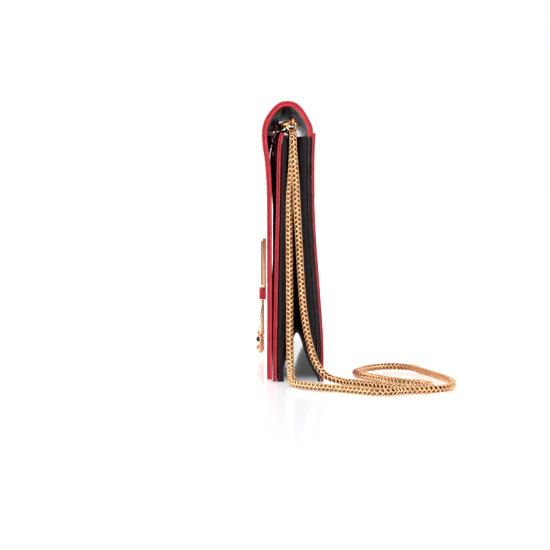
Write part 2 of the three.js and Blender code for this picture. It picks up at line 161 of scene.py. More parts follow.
# ---- nodes for materials ----
class Nodes:
    """A short way to wire a material."""

    def __init__(self, name):
        self.material = bpy.data.materials.new(name)
        self.material.use_nodes = True
        self.tree = self.material.node_tree
        self.shader = self.tree.nodes["Principled BSDF"]

    def add(self, kind, **values):
        node = self.tree.nodes.new(kind)
        for key, value in values.items():
            if hasattr(node, key):
                setattr(node, key, value)
            else:
                node.inputs[key.replace("_", " ")].default_value = value
        return node

    def link(self, source, target):
        self.tree.links.new(source, target)

    def place(self, scale):
        """The object's own coordinates, which are metres, times a scale."""
        where = self.add("ShaderNodeTexCoord")
        mapping = self.add("ShaderNodeMapping")
        mapping.inputs["Scale"].default_value = (scale, scale, scale)
        self.link(where.outputs["Object"], mapping.inputs["Vector"])
        return mapping.outputs["Vector"]

    def noise(self, scale, detail=3.0, roughness=0.5):
        node = self.add("ShaderNodeTexNoise", Scale=1.0, Detail=detail, Roughness=roughness)
        self.link(self.place(scale), node.inputs["Vector"])
        return node.outputs["Fac"]

    def ramp(self, source, stops):
        node = self.add("ShaderNodeValToRGB")
        ramp = node.color_ramp
        while len(ramp.elements) < len(stops):
            ramp.elements.new(0.5)
        for element, (position, value) in zip(ramp.elements, stops):
            element.position = position
            element.color = value if len(value) == 4 else (*value, 1)
        self.link(source, node.inputs["Fac"])
        return node.outputs["Color"]

    def span(self, source, low, high):
        node = self.add("ShaderNodeMapRange")
        node.inputs["To Min"].default_value = low
        node.inputs["To Max"].default_value = high
        self.link(source, node.inputs["Value"])
        return node.outputs["Result"]

    def bump(self, source, strength, distance, below=None):
        node = self.add("ShaderNodeBump", Strength=strength, Distance=distance)
        self.link(source, node.inputs["Height"])
        if below is not None:
            self.link(below, node.inputs["Normal"])
        return node.outputs["Normal"]

    def finish(self, color=None, roughness=None, normal=None, **sockets):
        for socket, source in (("Base Color", color), ("Roughness", roughness), ("Normal", normal)):
            if source is None:
                continue
            if hasattr(source, "is_linked"):
                self.link(source, self.shader.inputs[socket])
            else:
                self.shader.inputs[socket].default_value = source
        for key, value in sockets.items():
            self.shader.inputs[key.replace("_", " ")].default_value = value
        return self.material


def linear(level):
    """A screen level from 0 to 255 as linear light."""
    share = level / 255
    return ((share + 0.055) / 1.055) ** 2.4 if level > 10 else share / 12.92


def srgb(red, green, blue):
    return (linear(red), linear(green), linear(blue), 1)


def band(nodes, source, centre, outer, inner=0.0):
    """0 within the inner distance of a centre value, rising to 1 beyond the outer one."""
    off = nodes.add("ShaderNodeMath", operation="SUBTRACT")
    off.inputs[1].default_value = centre
    nodes.link(source, off.inputs[0])
    size = nodes.add("ShaderNodeMath", operation="ABSOLUTE")
    nodes.link(off.outputs["Value"], size.inputs[0])
    share = nodes.add("ShaderNodeMapRange", interpolation_type="SMOOTHSTEP")
    share.inputs["From Min"].default_value = inner
    share.inputs["From Max"].default_value = outer
    nodes.link(size.outputs["Value"], share.inputs["Value"])
    return share.outputs["Result"]


HEM_Z = 1.4 * MM  # the flap's lower edge
CREASE_INSET = 1.7 * MM
CREASE_HALF = 0.35 * MM


def edge_crease(nodes):
    """The heated line that is pressed round a panel, just inside its edges at the two ends and the hem."""
    where = nodes.add("ShaderNodeTexCoord")
    split = nodes.add("ShaderNodeSeparateXYZ")
    nodes.link(where.outputs["Object"], split.inputs["Vector"])
    side = nodes.add("ShaderNodeMath", operation="ABSOLUTE")
    nodes.link(split.outputs["X"], side.inputs[0])
    lines = nodes.add("ShaderNodeMath", operation="MULTIPLY")
    nodes.link(band(nodes, side.outputs["Value"], HALF_LENGTH - CREASE_INSET, CREASE_HALF), lines.inputs[0])
    nodes.link(band(nodes, split.outputs["Z"], HEM_Z + CREASE_INSET, CREASE_HALF), lines.inputs[1])
    return lines.outputs["Value"]


def leather(name, dark, light, roughness, grain=1100, coat=0.0, depth=0.00009, crease_lines=False,
            gloss=0.5):
    """Fine pebbled calf: cells with creases between them, over soft tonal clouds."""
    nodes = Nodes(name)
    cells = nodes.add("ShaderNodeTexVoronoi", feature="DISTANCE_TO_EDGE", Scale=1.0, Randomness=1.0)
    nodes.link(nodes.place(grain), cells.inputs["Vector"])
    crease = nodes.ramp(cells.outputs["Distance"], [(0.0, (0, 0, 0)), (0.22, (1, 1, 1))])
    clouds = nodes.noise(28, 4)
    fine = nodes.noise(4200, 2)
    color = nodes.ramp(clouds, [(0.3, dark), (0.7, light)])
    shade = nodes.add("ShaderNodeMix", data_type="RGBA", blend_type="MULTIPLY")
    shade.inputs["Factor"].default_value = 0.22
    nodes.link(color, shade.inputs["A"])
    nodes.link(crease, shade.inputs["B"])
    normal = nodes.bump(fine, 0.12, depth * 0.5, nodes.bump(crease, 0.35, depth))
    if crease_lines:
        normal = nodes.bump(edge_crease(nodes), 0.9, 0.0003, normal)
    rough = nodes.span(nodes.noise(90, 3), roughness - 0.06, roughness + 0.08)
    return nodes.finish(shade.outputs["Result"], rough, normal, Coat_Weight=coat, Coat_Roughness=0.25,
                        IOR=1.45, Specular_IOR_Level=gloss)


def edge_paint(name, dark, light, roughness=0.3):
    """Edge dye laid on in coats: smooth, slightly uneven, with a soft shine."""
    nodes = Nodes(name)
    color = nodes.ramp(nodes.noise(160, 3), [(0.35, dark), (0.65, light)])
    normal = nodes.bump(nodes.noise(420, 2), 0.25, 0.00012)
    rough = nodes.span(nodes.noise(300, 2), roughness - 0.06, roughness + 0.1)
    return nodes.finish(color, rough, normal, Coat_Weight=0.2, Coat_Roughness=0.18,
                        Specular_IOR_Level=0.4)


def metal(name, tint, shade, roughness, painted_shade=None):
    """Plated metal with faint rub marks and a duller bloom in places. A last colour, if given, is painted
    shade: it darkens the hollows between a chain's links, following the mesh's own attribute of how far out
    each point lies."""
    nodes = Nodes(name)
    color = nodes.ramp(nodes.noise(240, 3), [(0.3, shade), (0.65, tint)])
    # Painted shade: the last colour is mixed in where the mesh's attribute is low, at the chain's middle.
    if painted_shade is not None:
        unshaded_share = nodes.add("ShaderNodeAttribute", attribute_name="unshaded_share")
        mix = nodes.add("ShaderNodeMix", data_type="RGBA")
        nodes.link(unshaded_share.outputs["Fac"], mix.inputs["Factor"])
        mix.inputs["A"].default_value = painted_shade
        nodes.link(color, mix.inputs["B"])
        color = mix.outputs["Result"]
    rough = nodes.span(nodes.noise(900, 4, 0.65), roughness - 0.06, roughness + 0.12)
    normal = nodes.bump(nodes.noise(1600, 2), 0.06, 0.00004)
    return nodes.finish(color, rough, normal, Metallic=1.0)


def suede(name, dark, light):
    """Brushed nap: rough and matt, with a pale sheen at the rim."""
    nodes = Nodes(name)
    color = nodes.ramp(nodes.noise(60, 5, 0.6), [(0.3, dark), (0.7, light)])
    nap = nodes.noise(2600, 4, 0.7)
    normal = nodes.bump(nap, 0.5, 0.00015)
    return nodes.finish(color, 0.95, normal, Sheen_Weight=0.5, Sheen_Roughness=0.5)


def enamel(name, dark, light):
    """Dark poured enamel, almost flat."""
    nodes = Nodes(name)
    color = nodes.ramp(nodes.noise(500, 2), [(0.3, dark), (0.7, light)])
    normal = nodes.bump(nodes.noise(350, 1), 0.08, 0.00005)
    return nodes.finish(color, 0.28, normal, Coat_Weight=0.25, Coat_Roughness=0.1,
                        Specular_IOR_Level=0.35)


def thread(name, dark, light):
    """Twisted thread: a fine wave of tone and height across the stitches."""
    nodes = Nodes(name)
    twist = nodes.add("ShaderNodeTexWave", Scale=1.0, Distortion=1.5)
    nodes.link(nodes.place(2600), twist.inputs["Vector"])
    color = nodes.ramp(twist.outputs["Fac"], [(0.2, dark), (0.8, light)])
    normal = nodes.bump(twist.outputs["Fac"], 0.6, 0.0001)
    return nodes.finish(color, 0.6, normal, Sheen_Weight=0.2)


def make_materials():
    return {
        "red": leather("red_leather", srgb(182, 16, 34), srgb(192, 20, 40), 0.42, coat=0.12,
                       crease_lines=True),
        "black": leather("black_leather", srgb(16, 12, 16), srgb(27, 22, 27), 0.6, gloss=0.28),
        "lining": leather("lining_leather", srgb(96, 18, 38), srgb(116, 24, 46), 0.34, grain=1500,
                          coat=0.3),
        # Pale grey painted sheen for the lining under the fold's rear half.
        "lining_sheen": leather("lining_painted_sheen", srgb(150, 147, 152), srgb(176, 173, 178), 0.3, grain=1500,
                               coat=0.5),
        "edge": edge_paint("edge_paint_deep", srgb(156, 9, 27), srgb(182, 16, 37)),
        # The lining layers' edge paint is a lighter red: a painted highlight along their rounded edges.
        "edge_highlight": edge_paint("edge_paint_highlight", srgb(186, 25, 44), srgb(206, 42, 61)),
        "suede": suede("grey_suede", srgb(186, 183, 188), srgb(206, 203, 208)),
        "board": suede("bag_board", srgb(120, 110, 98), srgb(146, 136, 122)),
        "gold": metal("gold_plate", srgb(238, 192, 146), srgb(228, 178, 130), 0.22),
        # The hooks' and rings' gold is darker and browner than the plate's: painted shade from the fold above
        # them. It is also more mirror-like.
        "gold_painted_shade": metal("hardware_gold_painted_shade", srgb(226, 170, 112), srgb(176, 118, 70), 0.1),
        # The chain's last colour, a dark brown, is painted shade for the hollows between its links.
        "chain_gold": metal("chain_gold", srgb(240, 198, 152), srgb(214, 164, 116), 0.15,
                            srgb(120, 72, 38)),
        "steel": metal("steel", srgb(190, 190, 192), srgb(150, 150, 154), 0.3),
        "enamel": enamel("blue_grey_enamel", srgb(30, 38, 46), srgb(40, 48, 56)),
        "thread": thread("red_thread", srgb(188, 40, 54), srgb(228, 84, 96)),
    }


# ---- mesh helpers ----
def new_object(name, mesh, materials, smooth_angle=40):
    thing = bpy.data.objects.new(name, mesh)
    bpy.context.scene.collection.objects.link(thing)
    for material in materials:
        mesh.materials.append(material)
    mesh.shade_smooth()
    if smooth_angle is not None:
        mesh.set_sharp_from_angle(angle=math.radians(smooth_angle))
    return thing


def mesh_from(name, vertices, faces):
    mesh = bpy.data.meshes.new(name)
    mesh.from_pydata([tuple(v) for v in vertices], [], faces)
    mesh.update()
    return mesh


def face_outwards(mesh):
    box = bmesh.new()
    box.from_mesh(mesh)
    bmesh.ops.recalc_face_normals(box, faces=box.faces)
    box.to_mesh(mesh)
    box.free()


def ring_of_quads(base, rows, sides, closed=False):
    """The faces of a tube whose rings of vertices start at base; closed joins its last ring to its first."""
    faces = []
    for row in range(rows if closed else rows - 1):
        here = base + row * sides
        there = base + (row + 1) % rows * sides
        for k in range(sides):
            after = (k + 1) % sides
            faces.append((here + k, here + after, there + after, there + k))
    return faces


def end_caps(base, rows, sides):
    first = tuple(base + k for k in range(sides))[::-1]
    last = tuple(base + (rows - 1) * sides + k for k in range(sides))
    return [first, last]


def apply_modifiers(thing):
    graph = bpy.context.evaluated_depsgraph_get()
    fresh = bpy.data.meshes.new_from_object(thing.evaluated_get(graph))
    old = thing.data
    thing.modifiers.clear()
    thing.data = fresh
    fresh.name = thing.name
    bpy.data.meshes.remove(old)


def bevel(thing, width, segments=2, angle=50):
    """Round the edges sharper than an angle in degrees."""
    modifier = thing.modifiers.new("bevel", "BEVEL")
    modifier.width = width
    modifier.segments = segments
    modifier.limit_method = "ANGLE"
    modifier.angle_limit = math.radians(angle)
    modifier.harden_normals = False
    modifier.miter_outer = "MITER_ARC"
    apply_modifiers(thing)
    thing.data.shade_smooth()
    thing.data.set_sharp_from_angle(angle=math.radians(42))


def ripple(x, y, seed):
    """Smooth repeatable waves in two directions, from -1 to 1."""
    value = math.sin(x * 1.7 + seed) * math.cos(y * 1.3 - seed * 0.7)
    value += 0.5 * math.sin(x * 3.9 - y * 2.3 + seed * 2.1)
    value += 0.25 * math.sin(x * 7.1 + y * 6.3 - seed)
    return value / 1.75


def smooth_step(share):
    share = min(max(share, 0.0), 1.0)
    return share * share * (3 - 2 * share)


SHEET_STEPS = 72  # along a sheet's length


def leather_sheet(name, line, near, far, materials, half, shape=None, edge_radius=0.35 * MM, seams=(),
                  far_side=None):
    """A closed sheet between two offsets of a (y, z) line, pushed along X from -half to half. Its faces use
    the first material (the far side) and second (the near side), and its cut edges the third. A shape moves
    each point of the line at each X. A seam, at the line's start or end, is left without a cut edge because
    the leather runs on into the next piece. A far_side is a line of its own in place of the far offset."""
    sides = [shifted(line, near), far_side or shifted(line, far)]
    count = len(line)
    vertices = []
    for side in sides:
        for i in range(SHEET_STEPS + 1):
            x = -half + 2 * half * i / SHEET_STEPS
            for j, p in enumerate(side):
                push = shape(x, line[j]) if shape else Vector((0, 0, 0))
                vertices.append((x + push.x, p.x + push.y, p.y + push.z))
    stride = (SHEET_STEPS + 1) * count
    faces = []
    slots = []
    for i in range(SHEET_STEPS):
        for j in range(count - 1):
            a = i * count + j
            b = a + count
            faces.append((a, a + 1, b + 1, b))
            slots.append(1)
            faces.append((stride + a, stride + b, stride + b + 1, stride + a + 1))
            slots.append(0)
    line_ends = (("start", 0, False), ("end", count - 1, True))
    for i in range(SHEET_STEPS):
        for line_end, j, flip in line_ends:
            if line_end in seams:
                continue
            a = i * count + j
            quad = (a, a + count, stride + a + count, stride + a)
            faces.append(quad[::-1] if flip else quad)
            slots.append(2)
    for i, flip in ((0, True), (SHEET_STEPS, False)):
        for j in range(count - 1):
            a = i * count + j
            quad = (a, a + 1, stride + a + 1, stride + a)
            faces.append(quad[::-1] if flip else quad)
            slots.append(2)
    mesh = mesh_from(name, vertices, faces)
    thing = new_object(name, mesh, materials)
    for polygon, slot in zip(mesh.polygons, slots):
        polygon.material_index = slot
    face_outwards(mesh)
    bevel(thing, edge_radius, 3)
    return thing


def refined(node, name, material, width):
    """A finer piece made from a CAD node's own shape: flat areas cleaned, edges rounded."""
    mesh = bpy.data.meshes.new_from_object(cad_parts[node])
    mesh.materials.clear()
    thing = new_object(name, mesh, [material])
    box = bmesh.new()
    box.from_mesh(mesh)
    bmesh.ops.remove_doubles(box, verts=box.verts, dist=1e-6)
    bmesh.ops.dissolve_limit(box, angle_limit=math.radians(4), verts=box.verts, edges=box.edges)
    box.to_mesh(mesh)
    box.free()
    for polygon in mesh.polygons:
        polygon.material_index = 0
    if width > 0:
        bevel(thing, width, 3, 35)
    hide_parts(node)
    return thing


# ---- the chain: four rows of leaning ovals round a core ----
LINK_PITCH = 2.6 * MM
ROW_OFFSET = 0.95 * MM
LINK_HALF_LONG = 1.6 * MM
LINK_HALF_WIDE = 1.15 * MM
LINK_WIRE = 0.5 * MM
LINK_STEPS = 12  # round the oval
LINK_SIDES = 6  # round the wire
LINK_LEAN = math.radians(32)
CORE_RADIUS = 1.15 * MM
ROLL_START = 0.62  # the rows' turn about the chain at its two ends, in radians
ROLL_END = 1.18
ROLL_WANDER = 0.12
FULL_SHADE_RADIUS = 0.92 * MM  # nearer the chain's middle the links take the full painted shade
# over this distance outwards the painted shade fades out to the bright gold
SHADE_FADE = 1 * MM
# The strap's middle, in millimetres: from the near jump ring down to its loop on the floor, up again, over
# the near pleat and through the back compartment to the far hook.
CHAIN_ROUTE = [
    (122.8, 2.2, 141.4), (127.4, 2.1, 138.6), (130.3, 2.3, 132), (131.5, 3.4, 117), (131.4, 5.2, 82),
    (131.2, 8, 42), (131.5, 11.2, 23.5), (132.8, 15.2, 11.5), (134.6, 21, 4.8), (139, 29, 2.5),
    (146.6, 36.6, 2.4), (160, 53.3, 2.4), (167, 60.8, 2.4), (168.3, 67.6, 2.4), (164.6, 74.2, 2.4),
    (157, 77.2, 2.4), (148.6, 73.4, 2.4), (142.6, 64.2, 2.4), (128.2, 51.5, 2.4), (105, 39.8, 2.4),
    (89.9, 43.4, 2.4), (77, 53, 2.4), (72.6, 64, 2.4), (78, 73.6, 2.4), (94.6, 79, 2.4), (117, 86.2, 2.4),
    (140, 91, 2.4), (159, 88.6, 2.4), (169.5, 82.4, 2.4), (174.6, 70, 2.4), (176, 61.5, 2.4),
    (181, 54, 2.4), (182, 47.4, 2.4), (172.4, 32, 2.4), (154.5, 6.6, 2.4), (144.5, 1.6, 2.5),
    (136.5, 0.9, 5.2), (132.3, 0.4, 14), (131, 0.2, 52), (130.4, 0, 88), (128, 0.2, 106),
    (124.4, 1.5, 125.5), (120.7, 1.7, 134.8), (116.2, 1.9, 141), (108.6, 1.9, 143.3), (97, 1.5, 143.2),
    (83, 2, 138.6), (58, 3, 122.5), (4, 3.4, 109.5), (-50, 2.8, 122.5), (-68.6, 1.9, 136.4),
]


def frames_along(points):
    """Tangent, side and up at each point. The side starts level and is carried along without twist."""
    tangents = []
    for i in range(len(points)):
        along = points[min(i + 1, len(points) - 1)] - points[max(i - 1, 0)]
        tangents.append(along.normalized())
    side = tangents[0].cross(Vector((1, 0, 0))).normalized()
    out = []
    for i, tangent in enumerate(tangents):
        side = (side - tangent * side.dot(tangent)).normalized()
        out.append((tangent, side, tangent.cross(side)))
    return out


def oval_link(centre, long_axis, short_axis):
    """The vertices of one closed oval of round wire."""
    cross_axis = long_axis.cross(short_axis)
    vertices = []
    for i in range(LINK_STEPS):
        turn = 2 * math.pi * i / LINK_STEPS
        along = math.cos(turn)
        aside = math.sin(turn)
        middle = long_axis * (LINK_HALF_LONG * along) + short_axis * (LINK_HALF_WIDE * aside)
        outward = long_axis * (along / LINK_HALF_LONG) + short_axis * (aside / LINK_HALF_WIDE)
        outward.normalize()
        for k in range(LINK_SIDES):
            roll = 2 * math.pi * k / LINK_SIDES
            on_wire = outward * (LINK_WIRE * math.cos(roll)) + cross_axis * (LINK_WIRE * math.sin(roll))
            vertices.append(centre + middle + on_wire)
    return vertices


def add_core(vertices, faces, line):
    """The links' inner bends, which close the chain's middle."""
    sides = 8
    base = len(vertices)
    for centre, (_, side, up) in zip(line, frames_along(line)):
        for k in range(sides):
            turn = 2 * math.pi * k / sides
            vertices.append(centre + (side * math.cos(turn) + up * math.sin(turn)) * CORE_RADIUS)
    faces.extend(ring_of_quads(base, len(line), sides))
    faces.extend(end_caps(base, len(line), sides))


def add_chain(material):
    """The strap, along its route. Each link's outside keeps its gold; towards the chain's middle it is
    painted shade.
    """
    points = [Vector(p) * MM for p in CHAIN_ROUTE]
    dense = catmull(points, 0.5, 16)
    length = line_length(dense)
    count = round(length / LINK_PITCH)
    line = spaced(dense, count)
    vertices = []
    faces = []
    unshaded_shares = []
    for i, (centre, (tangent, side, up)) in enumerate(zip(line, frames_along(line))):
        roll = ROLL_START + (ROLL_END - ROLL_START) * i / count + ROLL_WANDER * math.sin(i * 0.045)
        first = side * math.cos(roll) + up * math.sin(roll)
        second = up * math.cos(roll) - side * math.sin(roll)
        for across, thick, shift in ((first, second, 0.0), (second, first, 0.5)):
            for hand in (-1, 1):
                long_axis = tangent * math.cos(LINK_LEAN) + across * (hand * math.sin(LINK_LEAN))
                ahead = (shift + hand * 0.08) * LINK_PITCH
                middle = centre + across * (hand * ROW_OFFSET) + tangent * ahead
                faces += ring_of_quads(len(vertices), LINK_STEPS, LINK_SIDES, closed=True)
                vertices += oval_link(middle, long_axis.normalized(), thick)
        # Each point's share of bright gold outside the painted shade: 0 at the chain's middle, 1 on the
        # links' outside.
        for vertex in vertices[len(unshaded_shares):]:
            away = vertex - centre
            away -= tangent * away.dot(tangent)
            unshaded_shares.append(smooth_step((away.length - FULL_SHADE_RADIUS) / SHADE_FADE))
    add_core(vertices, faces, line)
    unshaded_shares += [0.0] * (len(vertices) - len(unshaded_shares))
    chain = new_object("chain_links", mesh_from("chain_links", vertices, faces), [material], None)
    unshaded_share = chain.data.attributes.new("unshaded_share", "FLOAT", "POINT")
    unshaded_share.data.foreach_set("value", unshaded_shares)
    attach(chain, "root")
    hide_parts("chain")


# ---- the shell's sections, as depth behind the flap's face and height, in millimetres ----
FLAP_HINGE_PART = [(25.7, 124), (25.75, 136), (26.1, 142.2), (25.9, 145)]
FLAP_REST = [
    (24.2, 149), (21, 154.5), (16.8, 158.7), (11.7, 160), (6.6, 158.8), (2, 154.5), (-1.4, 148.9),
    (-2.8, 143), (-2.6, 135.5), (-1.3, 126.5), (-0.2, 113), (0, 100), (0, 80), (0, 50), (0, 25), (0, 1.4),
]
FRONT_LINE = [
    (7.9, 142.4), (6.6, 138.5), (5.9, 132), (5.6, 122), (5.3, 103), (4.5, 70), (3.7, 30), (3.4, 0.2),
]
BACK_LINE = [
    (27.5, 141.9), (27, 128), (27, 110), (27.5, 92), (28.6, 75), (29.9, 58), (31, 43), (31.9, 31), (32.4, 18),
    (32.5, 0.1),
]
DIVIDER_LINE = [(11.4, 141.6), (12.2, 120), (14.2, 75), (16.1, 32.4)]
TUNNEL_LINE = [
    (9.8, 0), (9.2, 6.4), (11.2, 13), (14.3, 23), (16.3, 27.6), (17, 28.3), (17.8, 27.6), (19.5, 23.9),
    (21.2, 18.2), (23.3, 12.5), (26.1, 6.8), (28.6, 2.4), (29.3, 0),
]
FLAP_LAYER = 1.45 * MM
FLAP_SAG = 4 * MM  # how far the fold sinks at the bag's middle
SHOULDER_PRESS = 3.6 * MM
FRONT_SLIT = 0.5 * MM  # the air left between the flap's lining and the front wall, at mid-height
FLAP_SPLIT = 147.5 * MM  # the height at which the flap's hinge strip meets its body
GUSSET_DEPTH = 27 * MM  # how far the end pleats reach into the bag
GUSSET_TOP = 140 * MM
FLAP_FRONT = [p for p in catmull(section(FLAP_REST), 0.0) if p.y < 147 * MM and p.x < FACE_Y + 2 * MM]


def press(x, z):
    """How far the flap's front shoulder relaxes back towards the walls, between the strap's two hooks."""
    middle = smooth_step((90 * MM - abs(x)) / (62 * MM))
    above = smooth_step((z - 126 * MM) / (16 * MM))
    below = smooth_step((159 * MM - z) / (5 * MM))
    return SHOULDER_PRESS * middle * above * below


def flap_shape(x, p):
    """The fold sits a little lower in the middle, and the face carries slow handling waves."""
    rear = p.x > FACE_Y + 22 * MM
    drop = FLAP_SAG * (1 - (x / HALF_LENGTH) ** 2) * smooth_step((p.y - 147 * MM) / (9 * MM))
    if rear:
        # Below the back wall's top the root draws in behind the end's leather.
        at_end = abs(x) > HALF_LENGTH - 5 * MM
        inset = 1.5 * MM * smooth_step((140.5 * MM - p.y) / (2 * MM)) if at_end else 0.0
        return Vector((-math.copysign(inset, x), 0, -drop))
    wave = 0.12 * MM * ripple(x * 22, p.y * 60, 1.3) * smooth_step((150 * MM - p.y) / (8 * MM))
    front = smooth_step((FACE_Y + 11 * MM - p.x) / (9 * MM))
    return Vector((0, wave + press(x, p.y) * front, -drop))


def front_wall_shape(x, p):
    """Between the strap tabs the front wall bellies forward until it all but meets the flap's lining."""
    middle = smooth_step((84 * MM - abs(x)) / (56 * MM))
    lining_y = y_at(FLAP_FRONT, p.y) + 2 * FLAP_LAYER + press(x, p.y)
    above = smooth_step((p.y - 48 * MM) / (14 * MM))
    below = smooth_step((108 * MM - p.y) / (14 * MM))
    room = max(p.x - lining_y - FRONT_SLIT * above * below - 0.3 * MM, 0)
    held_at_top = 1 - 0.35 * smooth_step((p.y - 134 * MM) / (8 * MM))
    return Vector((0, -room * held_at_top * middle, 0))


def paint_lower_edges(thing, material, below):
    """The cut ends below a height take another material."""
    mesh = thing.data
    mesh.materials.append(material)
    slot = len(mesh.materials) - 1
    for polygon in mesh.polygons:
        if polygon.center.z < below and abs(polygon.normal.x) > 0.3:
            polygon.material_index = slot


def paint_sheen_under_fold_rear(thing, material):
    """Under the fold's rear half, to a line at the crest, the lining is painted pale grey: a painted sheen
    for the light that falls on that side.
    """
    mesh = thing.data
    mesh.materials.append(material)
    slot = len(mesh.materials) - 1
    for polygon in mesh.polygons:
        if polygon.center.y > FACE_Y + 14 * MM and abs(polygon.normal.x) < 0.3:
            polygon.material_index = slot


def add_flap(materials):
    """Two leathers, each a body that turns with the flap and a strip over the hinge, which stays in place.
    Returns the body's line."""
    whole = spaced(catmull(section(FLAP_HINGE_PART + FLAP_REST), 0.0), 150)
    split = next(i for i, p in enumerate(whole) if p.y > FLAP_SPLIT)
    hinge = whole[:split + 1]
    main = whole[split:]
    red = materials["red"]
    lining = materials["lining"]
    layers = (
        ("outer", "flap_outer", 0.0, FLAP_LAYER + 0.05 * MM, (red, red, materials["edge"]), HALF_LENGTH),
        # The lining's cut edge takes the lighter edge paint, a painted highlight.
        ("inner", "flap_lining", FLAP_LAYER, 2 * FLAP_LAYER, (lining, lining, materials["edge_highlight"]),
         HALF_LENGTH - 0.05 * MM),
    )
    for label, node, near, far, looks, half in layers:
        body = leather_sheet(f"flap_{label}_leather", main, near, far, looks, half, flap_shape,
                             seams=("start",))
        strip = leather_sheet(f"flap_{label}_hinge", hinge, near, far, looks, half, flap_shape,
                              seams=("end",))
        paint_lower_edges(strip, materials["black"], 139.6 * MM)
        # The inner layer's rear half takes the pale painted sheen.
        if label == "inner":
            for thing in (body, strip):
                paint_sheen_under_fold_rear(thing, materials["lining_sheen"])
        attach(body, "flap")
        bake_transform(strip)
        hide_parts(node)
        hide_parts("flap_root")
    return main


def add_wall(name, node, line, near, far, looks, half, shape=None, edge_radius=0.35 * MM):
    thing = leather_sheet(name, line, near, far, looks, half, shape, edge_radius)
    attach(thing, "root")
    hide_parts(node)


def add_walls(materials):
    """The front wall, the back wall and the divider. Returns their lines."""
    front = smooth_line(FRONT_LINE, 60)
    back = smooth_line(BACK_LINE, 70)
    divider = smooth_line(DIVIDER_LINE, 40)
    red, black, board, suede_look, edge, edge_highlight = (
        materials[look] for look in ("red", "black", "board", "suede", "edge", "edge_highlight")
    )
    add_wall("front_leather", "front_panel", front, 0, 1.15 * MM, (red, red, edge),
             HALF_LENGTH, front_wall_shape)
    # The lining's cut edges take the lighter edge paint, a painted highlight.
    add_wall("front_lining_leather", "front_lining", front, 1.1 * MM, 2.15 * MM, (black, black, edge_highlight),
             HALF_LENGTH - 0.05 * MM, front_wall_shape)
    add_wall("back_leather", "back_panel", back, -1.6 * MM, 0, (red, red, edge), HALF_LENGTH)
    # The back wall's inner layers end almost flush with it, so their cut edges stay crisp.
    crisp = 0.08 * MM
    stiff = [p for p in back if 9 * MM < p.y < 119 * MM]
    add_wall("back_board", "back_stiffener", stiff, -2.6 * MM, -1.55 * MM, (board, board, black),
             HALF_LENGTH - 0.2 * MM, edge_radius=crisp)
    lined = [p for p in back if 8 * MM < p.y < 141 * MM]
    add_wall("back_suede", "back_lining", lined, -3.6 * MM, -2.5 * MM, (suede_look, suede_look, black),
             HALF_LENGTH - 0.1 * MM, edge_radius=crisp)
    add_wall("divider_leather", "divider", divider, -0.65 * MM, 0.65 * MM, (black, black, edge),
             94 * MM)
    return front, back, divider


def add_base(black):
    """The folded base, thickest in its front foot. Returns the line that the ends' leather stands on."""
    line = smooth_line(TUNNEL_LINE, 60)
    upper = shifted(section(TUNNEL_LINE), 1.4 * MM)
    upper[0:2] = section([(FRONT_FOOT / MM, 0), (6.6, 6.6)])
    upper[-1:] = section([(30.6, 0)])
    upper = spaced(catmull(upper, 0.0), 60)
    half = HALF_LENGTH - 0.6 * MM
    thing = leather_sheet("base_leather", line, 0, 0, (black, black, black), half, edge_radius=0.3 * MM,
                          far_side=upper)
    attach(thing, "root")
    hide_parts("base_fold")
    return shifted(upper, 0.3 * MM)


def gusset_plan(z, front_line, back_line, divider_line):
    """The end's leather seen from above, as (x, y) for the near end."""
    half = 0.55 * MM
    front = y_at(front_line, z) + 2.0 * MM + 0.3 * MM + half
    back = y_at(back_line, z) - 3.5 * MM - 0.3 * MM - half
    pleat = max(y_at(divider_line, z) + 0.4 * MM, front + 2.5 * MM)
    end = HALF_LENGTH - 0.3 * MM - half
    strip = min(2.6 * MM, (pleat - front) * 0.62)
    deep = end - GUSSET_DEPTH
    return [
        Vector(p) for p in (
            (end - 5 * MM, front), (end - 1.5 * MM, front), (end - 0.4 * MM, front + 0.15 * MM),
            (end, front + strip * 0.4), (end, front + strip * 0.75), (end - 0.6 * MM, front + strip),
            (end - 12 * MM, max(pleat - 1.3 * MM, front + 1.5 * MM)), (deep + 2 * MM, pleat - 0.7 * MM),
            (deep, pleat), (deep + 2 * MM, pleat + 0.7 * MM), (end - 12 * MM, (pleat + back) / 2 - 0.6 * MM),
            (end - 0.6 * MM, back - 3.2 * MM), (end, back - 2.4 * MM), (end, back - 0.9 * MM),
            (end - 0.4 * MM, back - 0.2 * MM), (end - 2 * MM, back), (end - 5 * MM, back),
        )
    ]


def gusset_crease(along, z, seed):
    """Soft creases where the pleat folds: mostly across it, deeper towards the inner fold."""
    depth = 0.35 * MM * math.sin(math.pi * min(max(along, 0), 1)) ** 2
    slow = ripple(along * 9, z * 150, seed)
    sharp = max(ripple(along * 16 + 2, z * 420, seed + 3), 0.2) - 0.2
    return depth * (slow * 0.5 - sharp)


def base_height(base_line, y):
    """The height of the folded base's upper side at a depth."""
    for a, b in zip(base_line, base_line[1:]):
        if a.x <= y <= b.x:
            return a.y + (b.y - a.y) * (y - a.x) / max(b.x - a.x, 1e-9)
    return 0.0


